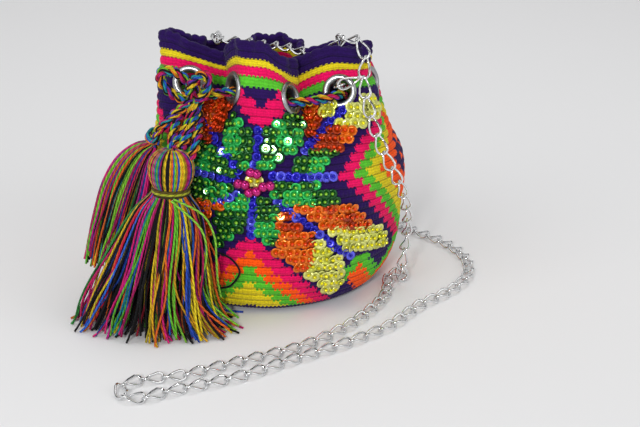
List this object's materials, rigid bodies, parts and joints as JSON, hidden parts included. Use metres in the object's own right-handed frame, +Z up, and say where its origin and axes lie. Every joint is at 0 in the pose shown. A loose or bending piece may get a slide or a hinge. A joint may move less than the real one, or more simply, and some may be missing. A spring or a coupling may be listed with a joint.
{
  "type": "drawstring bucket bag",
  "caption": "Small round crocheted bucket bag, gathered by a drawstring through metal eyelets, with tassels, a sequin flower and a chain strap; stands on its flat base.",
  "frame": {"origin": "centre of the flat base, on the surface that the bag stands on", "axes": "+Z up to the mouth, -Y towards the front with the sequin flower and the bow, +X towards the side that the strap hangs down"},
  "size_m": [0.242, 0.2748, 0.1589],
  "materials": {
    "crochet": "matt cotton yarn, crocheted in coloured rows",
    "eyelet_metal": "pressed bright nickel, lightly worn",
    "washer_metal": "plain pressed washer",
    "cord_yarn": "twisted cord of many-coloured cotton yarn",
    "tassel_yarn": "loose strands of many-coloured cotton yarn",
    "binding_yarn": "wound yarn",
    "chain_metal": "bright plated wire",
    "sequin_green": "bright cupped sequins with seed beads",
    "sequin_orange": "bright cupped sequins with seed beads",
    "sequin_yellow": "bright cupped sequins with seed beads",
    "sequin_blue": "bright cupped sequins with seed beads",
    "pearl_bead": "pearl lustre"
  },
  "bodies": {
    "root": {"bag_body": "crochet", "eyelet_1": "eyelet_metal", "eyelet_2": "eyelet_metal", "eyelet_3": "eyelet_metal", "eyelet_4": "eyelet_metal", "eyelet_5": "eyelet_metal", "eyelet_6": "eyelet_metal", "eyelet_7": "eyelet_metal", "eyelet_8": "eyelet_metal", "eyelet_9": "eyelet_metal", "eyelet_10": "eyelet_metal", "eyelet_11": "eyelet_metal", "eyelet_12": "eyelet_metal", "eyelet_washer_1": "washer_metal", "eyelet_washer_2": "washer_metal", "eyelet_washer_3": "washer_metal", "eyelet_washer_4": "washer_metal", "eyelet_washer_5": "washer_metal", "eyelet_washer_6": "washer_metal", "eyelet_washer_7": "washer_metal", "eyelet_washer_8": "washer_metal", "eyelet_washer_9": "washer_metal", "eyelet_washer_10": "washer_metal", "eyelet_washer_11": "washer_metal", "eyelet_washer_12": "washer_metal", "drawstring": "cord_yarn", "drawstring_knot": "cord_yarn", "bow_loop_left": "cord_yarn", "bow_loop_right": "cord_yarn", "tassel_front_tail": "cord_yarn", "tassel_front_head": "tassel_yarn", "tassel_front_binding": "binding_yarn", "tassel_front_skirt": "tassel_yarn", "tassel_rear_tail": "cord_yarn", "tassel_rear_head": "tassel_yarn", "tassel_rear_binding": "binding_yarn", "tassel_rear_skirt": "tassel_yarn", "chain_strap": "chain_metal", "sequin_leaf_top_right": "sequin_green", "sequin_leaf_top_left": "sequin_green", "sequin_leaf_side_upper_right": "sequin_green", "sequin_leaf_side_upper_left": "sequin_green", "sequin_leaf_side_lower_right": "sequin_green", "sequin_leaf_side_lower_left": "sequin_green", "sequin_leaf_bottom_right": "sequin_green", "sequin_leaf_bottom_left": "sequin_green", "sequin_petal_upper_orange_right": "sequin_orange", "sequin_petal_upper_orange_left": "sequin_orange", "sequin_petal_side_orange_right": "sequin_orange", "sequin_petal_side_orange_left": "sequin_orange", "sequin_petal_low_orange_right": "sequin_orange", "sequin_petal_low_orange_left": "sequin_orange", "sequin_petal_side_yellow_right": "sequin_yellow", "sequin_petal_side_yellow_left": "sequin_yellow", "sequin_petal_low_yellow_right": "sequin_yellow", "sequin_petal_low_yellow_left": "sequin_yellow", "sequin_veins": "sequin_blue", "pearl_cluster": "pearl_bead"}
  },
  "joints": []
}
